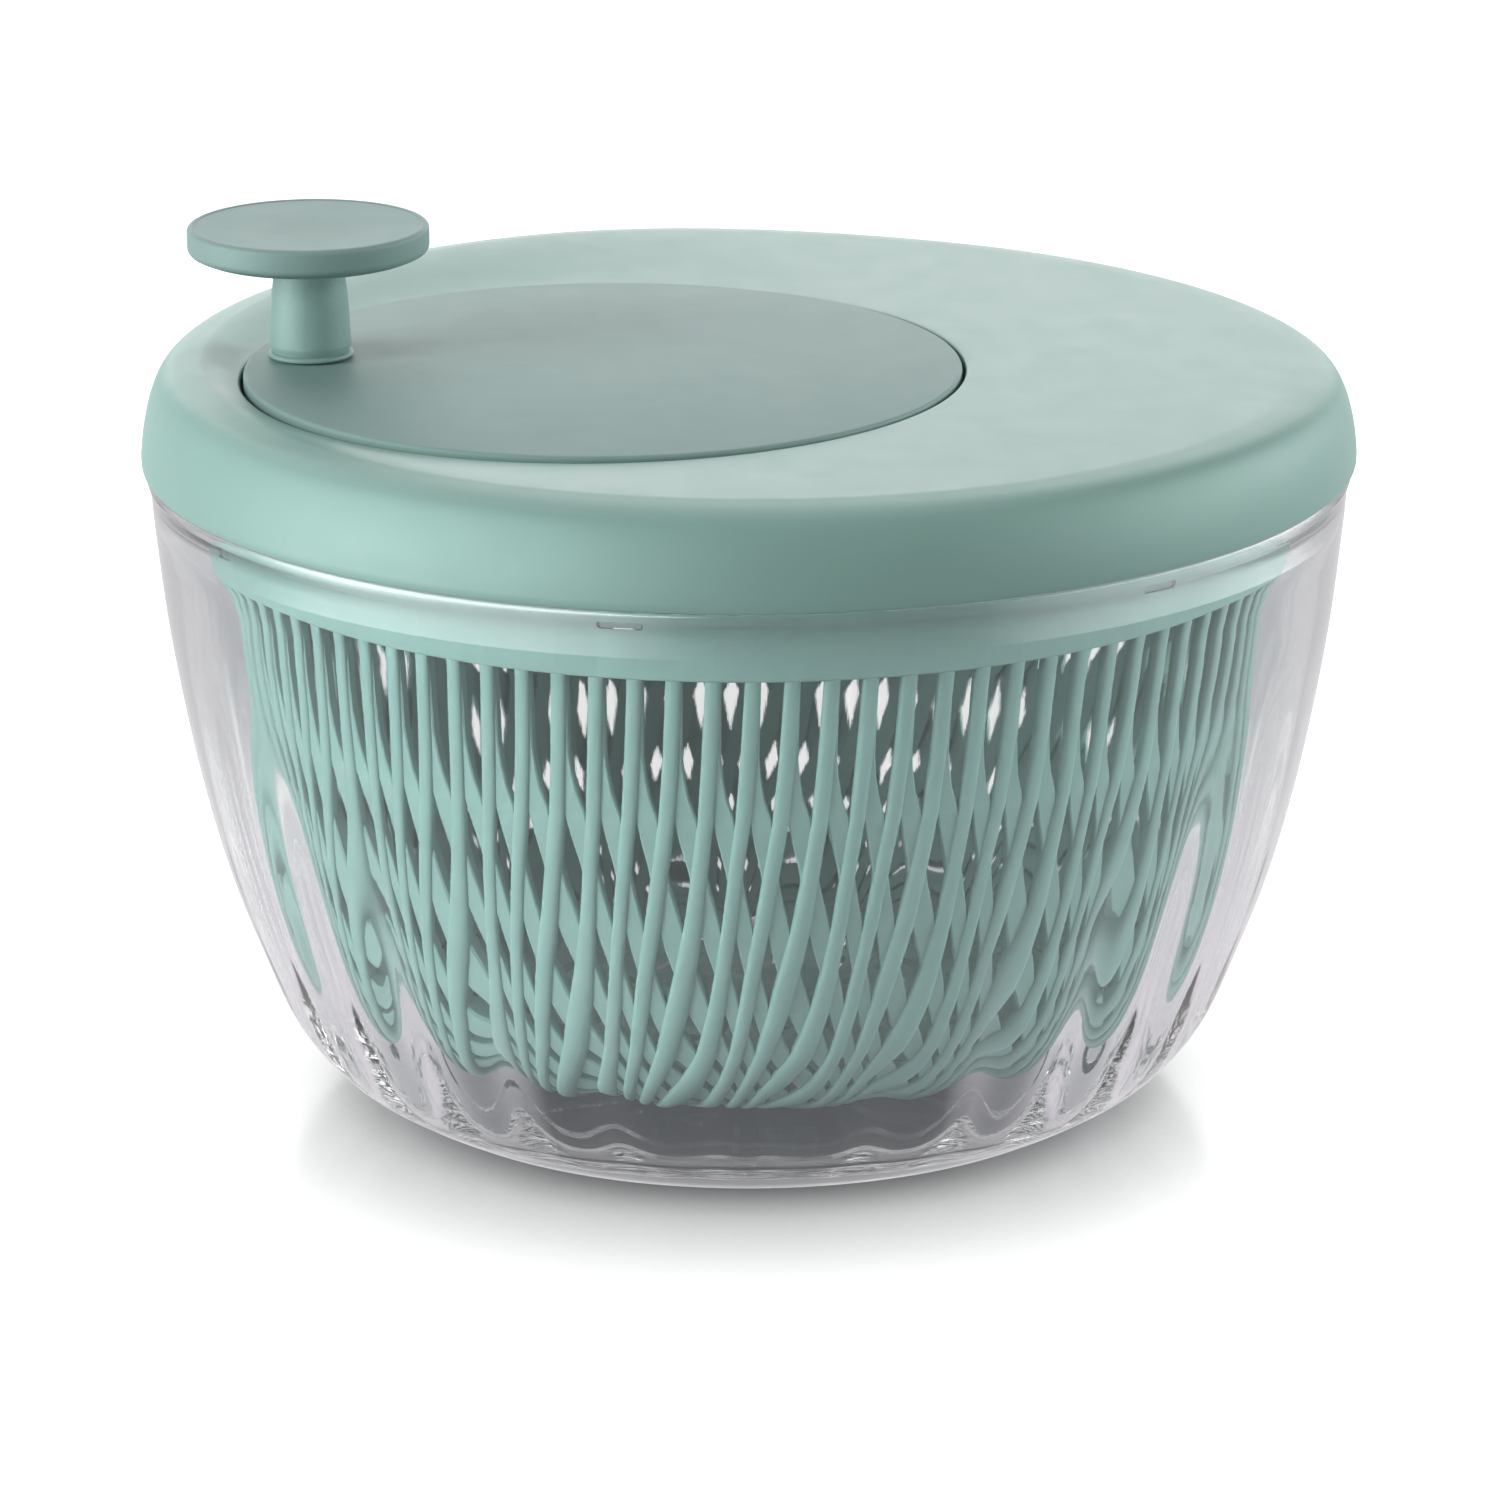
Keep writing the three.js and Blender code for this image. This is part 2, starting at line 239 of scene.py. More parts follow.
def involute_outline(teeth, module, root, tip, widen, centre=(0, 0), flank_steps=7):
    """Gear outline with involute flanks; widen is added to each tooth's width at the pitch circle"""
    pressure = math.radians(20)
    pitch = module * teeth / 2
    base = pitch * math.cos(pressure)

    def half_angle(radius):
        at = math.acos(base / max(radius, base * 1.0001))
        spread = math.tan(pressure) - pressure - math.tan(at) + at
        return math.pi / (2 * teeth) + widen / (2 * pitch) + spread

    radii = np.linspace(root, tip, flank_steps)
    outline = []
    for i in range(teeth):
        middle = i * 2 * math.pi / teeth
        flanks = [(r, middle - half_angle(r)) for r in radii]
        flanks += [(r, middle + half_angle(r)) for r in radii[::-1]]
        outline += [(centre[0] + r * math.cos(a), centre[1] + r * math.sin(a)) for r, a in flanks]
    return outline


# ---- Blender objects ----
def to_object(name, shape):
    points, faces = shape
    mesh = bpy.data.meshes.new(name)
    mesh.from_pydata((np.asarray(points) * MM).tolist(), [], faces)
    mesh.update()
    made = bpy.data.objects.new(name, mesh)
    bpy.context.scene.collection.objects.link(made)
    return made


def built(name, base, joins=(), cuts=()):
    """The base with other shapes joined to it and cut from it"""
    made = to_object(name, base)
    tools = []
    for operation, shapes in (("UNION", joins), ("DIFFERENCE", cuts)):
        for shape in shapes:
            tool = to_object("tool", shape)
            tools.append(tool)
            modifier = made.modifiers.new("boolean", "BOOLEAN")
            modifier.operation = operation
            modifier.solver = "MANIFOLD"
            modifier.object = tool
    if tools:
        graph = bpy.context.evaluated_depsgraph_get()
        solid = bpy.data.meshes.new_from_object(made.evaluated_get(graph))
        made.modifiers.clear()
        made.data = solid
        for tool in tools:
            bpy.data.objects.remove(tool)
    made.data.shade_smooth()
    made.data.set_sharp_from_angle(angle=SHARP_ANGLE)
    return made


def stand_for(node, material, base, joins=(), cuts=()):
    """Builds the finished piece for a CAD node, on the node's body and in its material slot"""
    piece = built(f"{node}_finished", base, joins, cuts)
    piece.data.materials.clear()
    piece.data.materials.append(material)
    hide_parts(node)
    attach(piece, BODY_OF[node])


# ---- materials ----
class Surface:
    """A material, or the world, being wired up. add() makes a node and sets or links its inputs by name."""

    def __init__(self, owner):
        owner.use_nodes = True
        self.owner = owner
        self.tree = owner.node_tree
        self.tree.nodes.clear()
        coordinates = self.add("ShaderNodeTexCoord").outputs
        self.place = coordinates["Object"]
        self.towards = coordinates["Generated"]

    def add(self, kind, inputs=None, **settings):
        node = self.tree.nodes.new(kind)
        for key, value in settings.items():
            setattr(node, key, value)
        for key, value in (inputs or {}).items():
            if isinstance(value, bpy.types.NodeSocket):
                self.tree.links.new(value, node.inputs[key])
            else:
                node.inputs[key].default_value = value
        return node

    def noise(self, per_metre, detail=3.0, roughness=0.55, stretch=None):
        place = self.place
        if stretch:
            place = self.add("ShaderNodeMapping", {"Vector": place, "Scale": stretch}).outputs["Vector"]
        inputs = {"Vector": place, "Scale": per_metre, "Detail": detail, "Roughness": roughness}
        return self.add("ShaderNodeTexNoise", inputs).outputs["Fac"]

    def ranged(self, value, low, high, start=0.3, end=0.7, **settings):
        inputs = {"Value": value, "From Min": start, "From Max": end, "To Min": low, "To Max": high}
        return self.add("ShaderNodeMapRange", inputs, **settings).outputs["Result"]

    def math(self, operation, *values, **settings):
        node = self.add("ShaderNodeMath", dict(enumerate(values)), operation=operation, **settings)
        return node.outputs["Value"]

    def mixed(self, factor, first, second):
        node = self.add("ShaderNodeMix", data_type="RGBA")
        for socket, value in ((node.inputs[0], factor), (node.inputs[6], first), (node.inputs[7], second)):
            if isinstance(value, bpy.types.NodeSocket):
                self.tree.links.new(value, socket)
            else:
                socket.default_value = value
        return node.outputs[2]

    def bump(self, height, distance, strength=1.0, normal=None):
        inputs = {"Height": height, "Distance": distance, "Strength": strength}
        if normal:
            inputs["Normal"] = normal
        return self.add("ShaderNodeBump", inputs).outputs["Normal"]

    def edges(self, start=0.51, end=0.58):
        """1 on worn outer edges, 0 on flats"""
        pointiness = self.add("ShaderNodeNewGeometry").outputs["Pointiness"]
        return self.ranged(pointiness, 0.0, 1.0, start, end)

    def finish(self, shader, output="ShaderNodeOutputMaterial"):
        self.add(output, {"Surface": shader})
        return self.owner


def srgb(red, green, blue):
    """Display colour, 0 to 255, as a linear RGBA value"""
    def linear(v):
        v /= 255
        return v / 12.92 if v <= 0.04045 else ((v + 0.055) / 1.055) ** 2.4
    return linear(red), linear(green), linear(blue), 1.0


def moulded_plastic(name, colour, roughness, grain_mm, grain_height_mm, shade=0.9, edge_gain=1.12):
    """Opaque plastic with a fine moulded grain, faint mottling and lighter worn edges"""
    s = Surface(bpy.data.materials.new(name))
    darker = tuple(c * shade for c in colour[:3]) + (1.0,)
    lighter = tuple(min(c * edge_gain, 1.0) for c in colour[:3]) + (1.0,)
    mottle = s.ranged(s.noise(38, 4), 0.0, 1.0)
    base = s.mixed(mottle, darker, colour)
    speckle = s.ranged(s.noise(900 / grain_mm, 2), 0.0, 0.16, 0.35, 0.75)
    base = s.mixed(speckle, base, lighter)
    base = s.mixed(s.edges(), base, lighter)
    grain = s.noise(1000 / grain_mm, 2.5, 0.6)
    normal = s.bump(grain, grain_height_mm * MM)
    waves = s.bump(s.noise(14, 1), 0.25 * MM, 0.1, normal)
    rough = s.ranged(s.noise(120, 3), roughness - 0.02, roughness + 0.03)
    plastic = s.add("ShaderNodeBsdfPrincipled", {
        "Base Color": base, "Roughness": rough, "Normal": waves, "IOR": 1.49,
    })
    return s.finish(plastic.outputs["BSDF"])


def clear_plastic(name):
    """Clear moulding: polished, a little wavy, with faint scuffs; lets light pass in shadow rays"""
    s = Surface(bpy.data.materials.new(name))
    scuffs = s.noise(700, 4, 0.7, stretch=(1.0, 1.0, 0.12))
    rough = s.ranged(scuffs, 0.006, 0.05, 0.55, 0.85)
    flow = s.bump(s.noise(22, 2), 0.5 * MM, 0.18)
    normal = s.bump(scuffs, 0.01 * MM, 0.25, flow)
    tint = s.mixed(s.ranged(s.noise(16, 2), 0.0, 1.0), srgb(245, 247, 247), srgb(251, 251, 252))
    plastic = s.add("ShaderNodeBsdfPrincipled", {
        "Base Color": tint, "Roughness": rough, "Normal": normal, "IOR": 1.5, "Transmission Weight": 1.0,
    })
    ghost = s.add("ShaderNodeBsdfTransparent", {"Color": (0.93, 0.955, 0.955, 1.0)})
    shadow = s.add("ShaderNodeLightPath").outputs["Is Shadow Ray"]
    mix = s.add("ShaderNodeMixShader", {0: shadow, 1: plastic.outputs["BSDF"], 2: ghost.outputs["BSDF"]})
    return s.finish(mix.outputs["Shader"])


def metal(name, colour, roughness, stretch):
    """Machined metal with drawn scratches and brighter edges"""
    s = Surface(bpy.data.materials.new(name))
    scratches = s.noise(900, 3, 0.6, stretch)
    dull = tuple(c * 0.82 for c in colour[:3]) + (1.0,)
    base = s.mixed(s.ranged(s.noise(160, 3), 0.0, 1.0), dull, colour)
    base = s.mixed(s.edges(), base, (0.86, 0.86, 0.86, 1.0))
    rough = s.ranged(scratches, roughness - 0.08, roughness + 0.1)
    shine = s.add("ShaderNodeBsdfPrincipled", {
        "Base Color": base, "Roughness": rough, "Metallic": 1.0,
        "Normal": s.bump(scratches, 0.02 * MM, 0.5),
    })
    return s.finish(shine.outputs["BSDF"])


MINT_LID = moulded_plastic("mint_lid", srgb(134, 170, 162), 0.42, 0.7, 0.006, 0.97, 1.08)
MINT_CRANK = moulded_plastic("mint_crank", srgb(125, 152, 148), 0.55, 0.9, 0.035, 0.96, 1.1)
MINT_STEM = moulded_plastic("mint_stem", srgb(130, 160, 154), 0.5, 1.6, 0.12)
MINT_BASKET = moulded_plastic("mint_basket", srgb(131, 167, 160), 0.45, 0.9, 0.012, 0.95)
WHITE = moulded_plastic("white_plastic", srgb(228, 231, 228), 0.45, 0.8, 0.01, 0.95, 1.05)
CLEAR = clear_plastic("clear_plastic")
STEEL = metal("steel", srgb(196, 198, 202), 0.28, (1.0, 1.0, 8.0))
BRASS = metal("bearing_brass", srgb(206, 172, 104), 0.3, (6.0, 6.0, 1.0))


# ---- bowl: smooth outside, 30 shallow flutes on the inside that fade out towards the rim ----
FLUTES = 30
FLUTE_DEPTH = 0.5
FLUTE_FADE_LOW = 62
FLUTE_FADE_HIGH = 122
FLUTE_START_RADIUS = 72
FLUTE_START_WIDTH = 16
BOWL_STEPS = 16 * FLUTES


def flute_wave(theta):
    return np.cos(FLUTES * theta)


def fluted(r, z):
    """An inside point of the bowl with the depth of its flutes, none on the floor or near the rim"""
    fade = np.clip((FLUTE_FADE_HIGH - z) / (FLUTE_FADE_HIGH - FLUTE_FADE_LOW), 0, 1)
    floor_fade = np.clip((r - FLUTE_START_RADIUS) / FLUTE_START_WIDTH, 0, 1)
    return r, z, FLUTE_DEPTH * fade**1.5 * floor_fade


def make_bowl():
    wall_outside = curved([
        (87.5, 1.2), (94, 4.8), (101.2, 10), (108.9, 20), (115.3, 35), (122.5, 55), (128.9, 80), (134.3, 110),
        (137.2, 135), (138, 145),
    ], 6)
    wall_inside = curved([
        (133.4, 137), (130.5, 110), (125.2, 80), (118.8, 55), (111.7, 35), (105, 21), (97.5, 12.4), (89, 8.4),
        (80, 7),
    ], 6)
    bead_top = 150.4
    rim_top = 156
    rim = rounded([
        (138, 145), (138.9, 148, 1.2), (138.9, bead_top, 0.5), (134.9, bead_top, 0.4), (134.9, rim_top, 0.8),
        (131.3, rim_top, 0.8), (131.5, 147), (133.4, 141), (133.4, 137),
    ], 3)
    stub = rounded([(13, 7, 2), (7.6, 9, 1), (6.2, 19.4, 0.3), (5.6, 20, 0.3), (0, 20)], 3)
    foot = rounded([(0, 2), (74, 2, 0.8), (76, 0, 0.8), (84, 0, 1.2), (87.5, 1.2)], 3)[:-1]
    outline = foot + wall_outside + rim[1:-1] + [fluted(r, z) for r, z in wall_inside]
    outline += [(60, 7), (36, 7)] + stub
    stand_for("bowl", CLEAR, turned(outline, BOWL_STEPS, flutes=flute_wave))


# ---- basket: lattice wall of outer ribs over inner strands, rim band, slotted floor and hub ----
RIBS = 88
# widths at distances down the wall; high up, a strand is wider by STRAND_SPREAD midway between two ribs
WIDTHS_AT = (0, 55, 85, 145)
RIB_WIDTHS = (3.5, 3.5, 4.1, 3.7)
STRAND_WIDTHS = (3.3, 3.5, 4.2, 4.0)
STRAND_SPREAD = 1.3
# depths below the wall's outer face
RIB_CROWN = 0.85
RIB_DEPTH = 1.8
STRAND_TOP = 0.9
STRAND_DEPTH = 2.8
STRAND_BEVEL = 0.3
# where the first rib stands, in rib pitches
FIRST_RIB = -0.03
BAND_BOTTOM = 130.6
# how far ribs and strands have turned, in rib pitches, at distances down the wall
LEAN_AT = (0, 2, 22, 30, 36, 64, 84, 97.5, 106, 128, 137, 143)
RIB_LEAN = (0, 0, -0.14, -0.22, -0.28, -0.75, -1.2, -1.6, -2.0, -3.2, -3.6, -3.8)
STRAND_LEAN = (0, 0, -0.06, 0.02, 0.2, 0.75, 1.3, 1.9, 2.5, 3.8, 4.3, 4.6)


def wall_stations():
    """Points down the basket wall with the unit normal that points out of it, and the distance down"""
    line = np.array(curved([
        (120.35, 133), (118.2, 112), (115.6, 92), (110.8, 66), (104.8, 45.4), (98, 32.5), (89.5, 22.8),
        (81, 17.6), (73, 15.6), (66, 15.5),
    ], 4))
    along = np.gradient(line, axis=0)
    along /= np.linalg.norm(along, axis=1)[:, None]
    normal = np.stack([-along[:, 1], along[:, 0]], axis=1)
    steps = np.linalg.norm(np.diff(line, axis=0), axis=1)
    return line, normal, np.concatenate([[0], np.cumsum(steps)])


def rib_widths(down):
    return np.interp(down, WIDTHS_AT, RIB_WIDTHS)


def strand_widths(down):
    apart = np.interp(down, LEAN_AT, STRAND_LEAN) - np.interp(down, LEAN_AT, RIB_LEAN)
    spread = STRAND_SPREAD * np.interp(down, WIDTHS_AT[1:3], (1, 0))
    return np.interp(down, WIDTHS_AT, STRAND_WIDTHS) + spread * np.sin(math.pi * apart) ** 2


def lattice_bars(section_of, lean, widths_of):
    """One family of bars down the wall. section_of(width) gives a closed (across, depth) section."""
    line, normal, down = wall_stations()
    pitch = 2 * math.pi / RIBS
    turn = np.interp(down, LEAN_AT, lean) * pitch
    sections = np.array([section_of(w) for w in widths_of(down)])
    bars = []
    for k in range(RIBS):
        angle = turn + (k + FIRST_RIB) * pitch
        out = np.stack([np.cos(angle), np.sin(angle)], axis=1)
        path = np.column_stack([out * line[:, :1], line[:, 1]])
        facing = np.column_stack([out * normal[:, :1], normal[:, 1]])
        along = np.gradient(path, axis=0)
        side = np.cross(along, facing)
        side /= np.linalg.norm(side, axis=1)[:, None]
        u, depth = sections[:, :, 0, None], sections[:, :, 1, None]
        rings = path[:, None] + side[:, None] * u - facing[:, None] * depth
        count, around = rings.shape[:2]
        faces = []
        for i in range(count - 1):
            faces += band_faces(i * around, (i + 1) * around, around)
        faces += end_faces(around, count)
        bars.append((rings.reshape(-1, 3), faces))
    first = wound_outwards(*bars[0])[1]
    return together([(points, first) for points, _ in bars])


def rib_section(width):
    """Half-round outside, flat inside"""
    half = width / 2
    arc = [(math.cos(a) * half, RIB_CROWN * (1 - math.sin(a))) for a in np.linspace(math.pi, 0, 7)]
    return arc + [(half, RIB_DEPTH), (-half, RIB_DEPTH)]


def strand_section(width):
    """Flat, with the outer corners bevelled"""
    half = width / 2
    bevel_end = STRAND_TOP + STRAND_BEVEL
    return [
        (-half, bevel_end), (-half + STRAND_BEVEL, STRAND_TOP), (half - STRAND_BEVEL, STRAND_TOP),
        (half, bevel_end), (half, STRAND_DEPTH), (-half, STRAND_DEPTH),
    ]


def make_basket():
    band = turned(rounded([
        (117.9, BAND_BOTTOM, 0.5), (120.3, BAND_BOTTOM, 0.6), (BASKET_RADIUS, BASKET_TOP, 0.6),
        (118.2, BASKET_TOP, 0.6),
    ], 3), FINE)
    floor = turned(rounded([
        (9.6, 13.4, 0.3), (12.4, 13.4, 0.4), (13, 15.5, 0.4), (73, 15.5, 0.8), (74.5, 18.3, 0.8),
        (71, 18.3, 0.6), (70, 17.6), (15, 17.6, 1.0), (12, 21, 1.5), (12, 27, 1.2), (0, 27), (0, 24),
        (9.6, 24, 0.3),
    ], 4), MEDIUM)
    outer_slots = [spun(slot_shape(41, 67, 4.4, 14, 20), (i + 0.5) * 15) for i in range(24)]
    inner_slots = [spun(slot_shape(18.5, 35, 4.4, 14, 20), (i + 0.5) * 30) for i in range(12)]
    notches = [spun(arm(110, 125, 10, 145, BASKET_TOP + 4, 0.8), i * 60) for i in range(6)]
    ribs = lattice_bars(rib_section, RIB_LEAN, rib_widths)
    strands = lattice_bars(strand_section, STRAND_LEAN, strand_widths)
    openings = together(outer_slots + inner_slots + notches)
    stand_for("basket", MINT_BASKET, ribs, (strands, band, floor), (openings,))


# ---- lid shell: softly domed top around the off-centre well, rolled shoulder and skirt ----
DISC_GAP = 0.8
HOLE_RADIUS = DISC_RADIUS + DISC_GAP
HOLE_ROUND = 0.8
HOLE_BEVEL = 0.3
LID_FLAT = 126
LID_EDGE_TOP = 172.5
# the top leans: its edge drops towards the photo's right, while around the well it rises that way
LEAN_TOWARDS = np.array([math.cos(CAMERA_AZIMUTH), math.sin(CAMERA_AZIMUTH)])
EDGE_LEAN = 0.0125
EDGE_CROWN = 1.5
CROWN_AT = -50
CROWN_HALF_WIDTH = 100
# near and far side of the edge blend into each other over this distance from the middle
LEAN_BLEND = 60
# below this level the skirt is upright and doesn't lean
LEAN_STARTS = 156
WELL_LEVEL = 171.9
WELL_LEAN = 0.008
LID_THICKNESS = 2.0
# the ring under the lid that stands inside the bowl's rim
LIP_INSIDE = 127.6
LIP_OUTSIDE = 129.8
LIP_BOTTOM = 151.6
HOUSING_SCREW_RADIUS = 115
HOUSING_SCREW_ANGLES = (25, 75, 125, 235, 285, 335)


def edge_lean(x, y):
    """How far the lid's edge is raised here: a lean, half as steep on the near side, and a far crown"""
    across = x * LEAN_TOWARDS[0] + y * LEAN_TOWARDS[1]
    beyond = np.clip((y * LEAN_TOWARDS[0] - x * LEAN_TOWARDS[1]) / LEAN_BLEND, -1, 1)
    from_crown = np.clip((across - CROWN_AT) / CROWN_HALF_WIDTH, -1, 1)
    crown = np.cos(math.pi / 2 * from_crown) ** 2 * np.maximum(beyond, 0)
    return -EDGE_LEAN * across * (0.75 + 0.25 * beyond) + EDGE_CROWN * crown


def lid_top(x, y):
    """Height of the lid's top: from the well's edge it blends into the level of the shoulder"""
    from_crank = np.array([x - CRANK[0], y - CRANK[1]])
    well = WELL_LEVEL + WELL_LEAN * (from_crank[0] * LEAN_TOWARDS[0] + from_crank[1] * LEAN_TOWARDS[1])
    off_well = np.hypot(*from_crank) - HOLE_RADIUS
    to_edge = np.maximum(LID_FLAT - np.hypot(x, y), 0)
    t = np.clip(off_well / np.maximum(off_well + to_edge, 0.01), 0, 1)
    t = t * t * (3 - 2 * t)
    return well * (1 - t) + (LID_EDGE_TOP + edge_lean(x, y)) * t


def ring_at(radius, level, centre=(0, 0)):
    theta = np.arange(FINE) * 2 * math.pi / FINE
    x, y = centre[0] + radius * np.cos(theta), centre[1] + radius * np.sin(theta)
    return np.stack([x, y, np.full(FINE, float(level))], axis=1)


def draped(ring, drop):
    """A ring laid on the dome, drop millimetres below it"""
    ring = ring.copy()
    ring[:, 2] = lid_top(ring[:, 0], ring[:, 1]) - drop
    return ring


def leaning(ring):
    """A ring of the shoulder, raised or lowered with the lid's edge; the skirt stays level"""
    ring = ring.copy()
    share = np.clip((ring[:, 2] - LEAN_STARTS) / (LID_EDGE_TOP - LEAN_STARTS), 0, 1) ** 1.5
    ring[:, 2] += edge_lean(ring[:, 0], ring[:, 1]) * share
    return ring


def make_lid():
    rings = [draped(ring_at(HOLE_RADIUS + HOLE_BEVEL, 0, CRANK), LID_THICKNESS)]
    for drop in (LID_THICKNESS - HOLE_BEVEL, 1.6, HOLE_ROUND):
        rings.append(draped(ring_at(HOLE_RADIUS, 0, CRANK), drop))
    for angle in np.radians([22, 45, 68, 90]):
        radius = HOLE_RADIUS + HOLE_ROUND * (1 - math.cos(angle))
        rings.append(draped(ring_at(radius, 0, CRANK), HOLE_ROUND * (1 - math.sin(angle))))
    inside, outside = ring_at(HOLE_RADIUS + HOLE_ROUND, 0, CRANK), ring_at(LID_FLAT, 0)
    for t in (0.02, 0.06, 0.14, 0.28, 0.45, 0.62, 0.78, 0.9, 0.97):
        rings.append(draped(inside * (1 - t) + outside * t, 0))
    shoulder = curved([
        (LID_FLAT, LID_EDGE_TOP), (131.6, 171.7), (134.3, 170.4), (136.2, 168.2), (137.8, 164.6),
        (138.9, 160.5), (139.6, 156.5), (LID_RADIUS, 152.6),
    ], 6)
    shoulder += rounded([
        (LID_RADIUS, 152.6), (139.95, LID_BOTTOM, 0.4), (137.4, LID_BOTTOM, 0.4), (136.3, 160),
    ], 3)[1:-1]
    shoulder += curved([(136.3, 160), (134.6, 165.4), (132.6, 168.4), (LIP_OUTSIDE, 169.4)], 3)
    shoulder += rounded([
        (LIP_OUTSIDE, 169.4), (LIP_OUTSIDE, LIP_BOTTOM, 0.5), (LIP_INSIDE, LIP_BOTTOM, 0.5),
        (LIP_INSIDE, 169.6),
    ], 3)[1:-1]
    rings += [leaning(ring_at(r, z)) for r, z in shoulder]
    inside, outside = ring_at(HOLE_RADIUS + HOLE_BEVEL, 0, CRANK), ring_at(LIP_INSIDE, 0)
    for t in (0, 0.1, 0.3, 0.5, 0.7, 0.9):
        rings.append(draped(outside * (1 - t) + inside * t, LID_THICKNESS))
    bosses, pilots = [], []
    for degrees in HOUSING_SCREW_ANGLES:
        at = polar(HOUSING_SCREW_RADIUS, degrees)
        boss = rounded([(0, 161.4), (4.4, 161.4, 0.4), (4.6, 168), (5.4, 171), (0, 171)], 3)
        bosses.append(turned(boss, SMALL, at))
        pilots.append(plug(2, 160, 169, at))
    stand_for("lid_shell", MINT_LID, loft(rings), (together(bosses),), (together(pilots),))


# ---- crank disc with its post, and the mushroom knob ----
RING_SCREWS = [polar(55, degrees, CRANK) for degrees in (20, 110, 200, 290)]
KNOB_STEPS = 180


def make_crank():
    disc = turned(rounded([
        (0, DISC_BOTTOM), (6, DISC_BOTTOM, 0.6), (6, 169.7, 1.2), (78.8, 169.7, 1.0), (78.8, 166.2, 0.4),
        (DISC_RADIUS, 166.2, 0.8), (DISC_RADIUS, DISC_TOP, 0.9), (0, DISC_TOP),
    ], 5), FINE, CRANK)
    bosses = [plug(3.6, 166.4, 170.5, at) for at in RING_SCREWS]
    holes = [plug(1.7, 166, 171.2, at) for at in RING_SCREWS]
    holes += [plug(1.95, 157, 168, CRANK), plug(4.1, 165, 176, KNOB)]
    stand_for("crank_disc", MINT_CRANK, disc, (together(bosses),), (together(holes),))


def make_knob():
    low, rim, top = KNOB_BOTTOM, KNOB_RADIUS, KNOB_TOP
    stem = rounded([(4, low), (9.9, low, 0.5), (9.7, low + 1.4, 0.8)], 3)
    stem += curved([(9.45, low + 2.6), (9.2, 180), (8.9, 186), (8.3, 191.6), (7.8, 196.3)], 6)
    stem += [(6, 196.3), (6, 190.2), (4, 190.2)]
    stand_for("knob_stem", MINT_STEM, turned(stem, MEDIUM, KNOB))
    cap = rounded([
        (4.4, 192.6), (5.6, 192.6), (5.6, 196.7, 0.4), (9, 196.7, 1.2), (24.4, 196.8, 3.0), (rim, 198.2, 1.8),
        (rim, top, 1.1), (26.2, top, 0.4), (25.9, top - 0.2, 0.3), (0, top - 0.2), (0, 197.2), (4.4, 197.2),
    ], 6)
    stand_for("knob_cap", MINT_CRANK, turned(cap, KNOB_STEPS, KNOB))


# ---- gear housing, drive plate and gears ----
GEAR_MODULE = 1.45
RING_TEETH = 64
PINION_TEETH = 16
BACKLASH = 0.42
SHAFT_BORE = 3.4


def make_housing():
    _, radius, bottom, _ = measured("gear_housing")
    top = 161
    plate = turned(rounded([(0, bottom), (radius, bottom, 0.7), (radius, top, 0.5), (0, top)], 4), FINE)
    wall = turned(rounded([(84.6, 160), (86.8, 160), (86.8, 168.9, 0.5), (84.6, 168.9, 0.5)], 3), FINE, CRANK)
    bearing = turned([(0, 160), (9.5, 160), (9.5, 165.2), (9.2, 165.5), (0, 165.5)], MEDIUM, CRANK)
    holes = [plug(6.5, 157, 167, CRANK, MEDIUM), plug(6.9, 157, 164, steps=MEDIUM)]
    for degrees in HOUSING_SCREW_ANGLES:
        holes.append(plug(2, 157, 164, polar(HOUSING_SCREW_RADIUS, degrees)))
    stand_for("gear_housing", WHITE, plate, (wall, bearing), (together(holes),))


def make_drive():
    low, top = 150.2, 153
    ring = turned(rounded([(106, low, 0.6), (120, low, 0.6), (120, top, 0.6), (106, top, 0.6)], 4), FINE)
    hub = turned(rounded([(0, 148.6), (17, 148.6, 0.8), (17, 155.6, 1.2), (0, 155.6)], 5), MEDIUM)
    spokes = [spun(arm(10, 108, 14, low + 0.02, top - 0.02), i * 60) for i in range(6)]
    fins = [spun(arm(14, 110, 2.4, 147, low + 1, 0.5), i * 60) for i in range(6)]
    lugs = [spun(arm(109, 119.7, 9.2, 145.4, low + 1, 0.7), i * 60) for i in range(6)]
    bore = plug(SHAFT_BORE, 145, 158, steps=MEDIUM)
    stand_for("drive_plate", MINT_CRANK, ring, [hub] + spokes + fins + lugs, (bore,))


def make_pinion():
    _, _, bottom, top = measured("pinion")
    pitch = GEAR_MODULE * PINION_TEETH / 2
    root, tip = pitch - 1.2 * GEAR_MODULE, pitch + 0.9 * GEAR_MODULE
    outline = involute_outline(PINION_TEETH, GEAR_MODULE, root, tip, -BACKLASH)
    bore = plug(SHAFT_BORE, bottom - 1, top + 1, steps=MEDIUM)
    stand_for("pinion", WHITE, prism(outline, bottom, top), (), (bore,))


def make_ring_gear():
    pitch = GEAR_MODULE * RING_TEETH / 2
    _, flange, bottom, top = measured("ring_gear")
    body = turned(rounded([
        (40, bottom), (51, bottom, 0.5), (51, 163.6), (flange, 163.6, 0.4), (flange, 166, 0.4), (51, 166),
        (51, top, 0.5), (40, top),
    ], 3), FINE, CRANK)
    inner = pitch - 0.95 * GEAR_MODULE
    outline = involute_outline(RING_TEETH, GEAR_MODULE, inner, pitch + 1.2 * GEAR_MODULE, BACKLASH, CRANK)
    teeth = prism(outline, bottom - 1, top + 1)
    middle = plug(inner, 160, 172, CRANK, FINE)
    holes = together([plug(1.7, 160, 168, at) for at in RING_SCREWS])
    stand_for("ring_gear", WHITE, body, (), (teeth, middle, holes))


